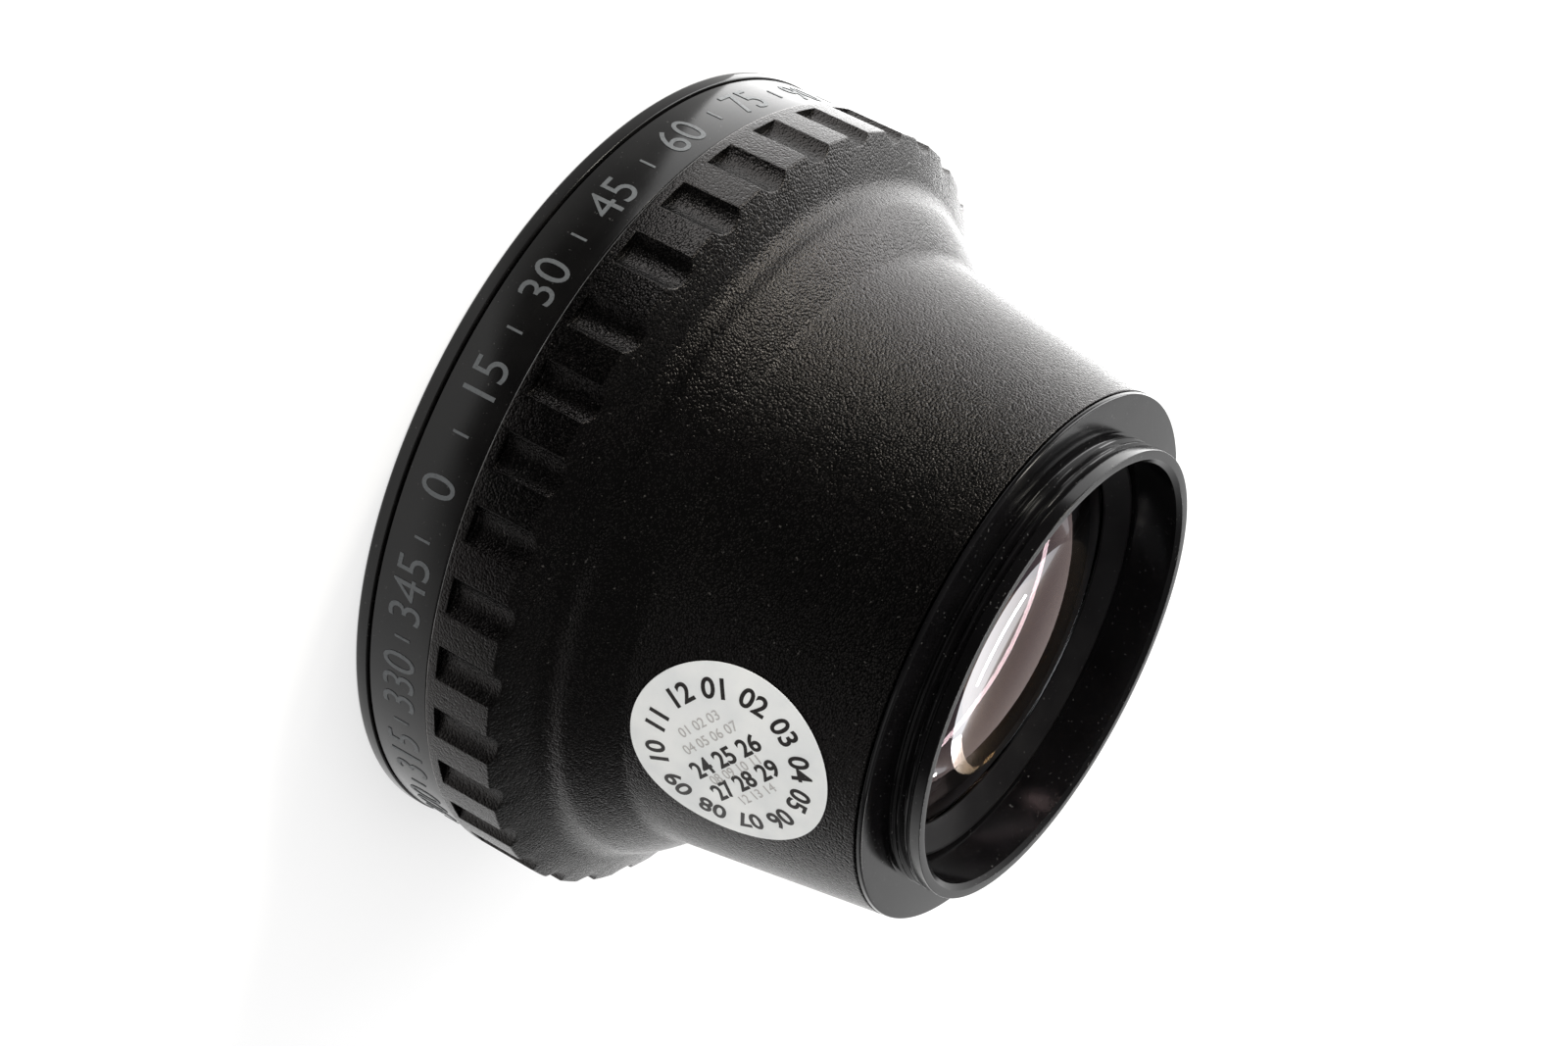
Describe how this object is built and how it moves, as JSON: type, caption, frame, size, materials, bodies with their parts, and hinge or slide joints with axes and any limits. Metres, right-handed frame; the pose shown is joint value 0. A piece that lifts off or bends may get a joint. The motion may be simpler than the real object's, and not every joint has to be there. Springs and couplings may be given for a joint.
{
  "type": "wide-angle conversion lens",
  "caption": "Wide-angle conversion lens that screws onto a camera lens: scalloped grip flange, tapered barrel, rear male filter thread and domed rear glass.",
  "frame": {"origin": "centre of the front rim, on the plane of its flat face, on which the lens stands", "axes": "+Z along the optical axis from the front rim to the rear thread, -Y towards the side that the picture shows"},
  "size_m": [0.0638, 0.0638, 0.0412],
  "materials": {
    "satin_black": "satin black anodised",
    "crinkle_paint": "fine crinkle black paint",
    "gloss_black": "gloss black anodised",
    "matt_black": "matt black anodised",
    "dark_grey": "dark grey anodised",
    "coated_glass": "polished, with a faint mauve coating",
    "black_nylon": "matt",
    "seal_paper": "satin white label stock"
  },
  "bodies": {
    "root": {"front_bezel": "satin_black", "name_ring": "satin_black", "barrel": "crinkle_paint", "front_washer": "black_nylon", "front_element": "coated_glass", "seat_shim": "black_nylon", "baffle_tube": "matt_black", "field_stop": "matt_black", "flint_glass": "coated_glass", "crown_glass": "coated_glass", "rear_retaining_ring": "dark_grey", "mount_ring": "gloss_black", "seal_sticker": "seal_paper"}
  },
  "joints": []
}
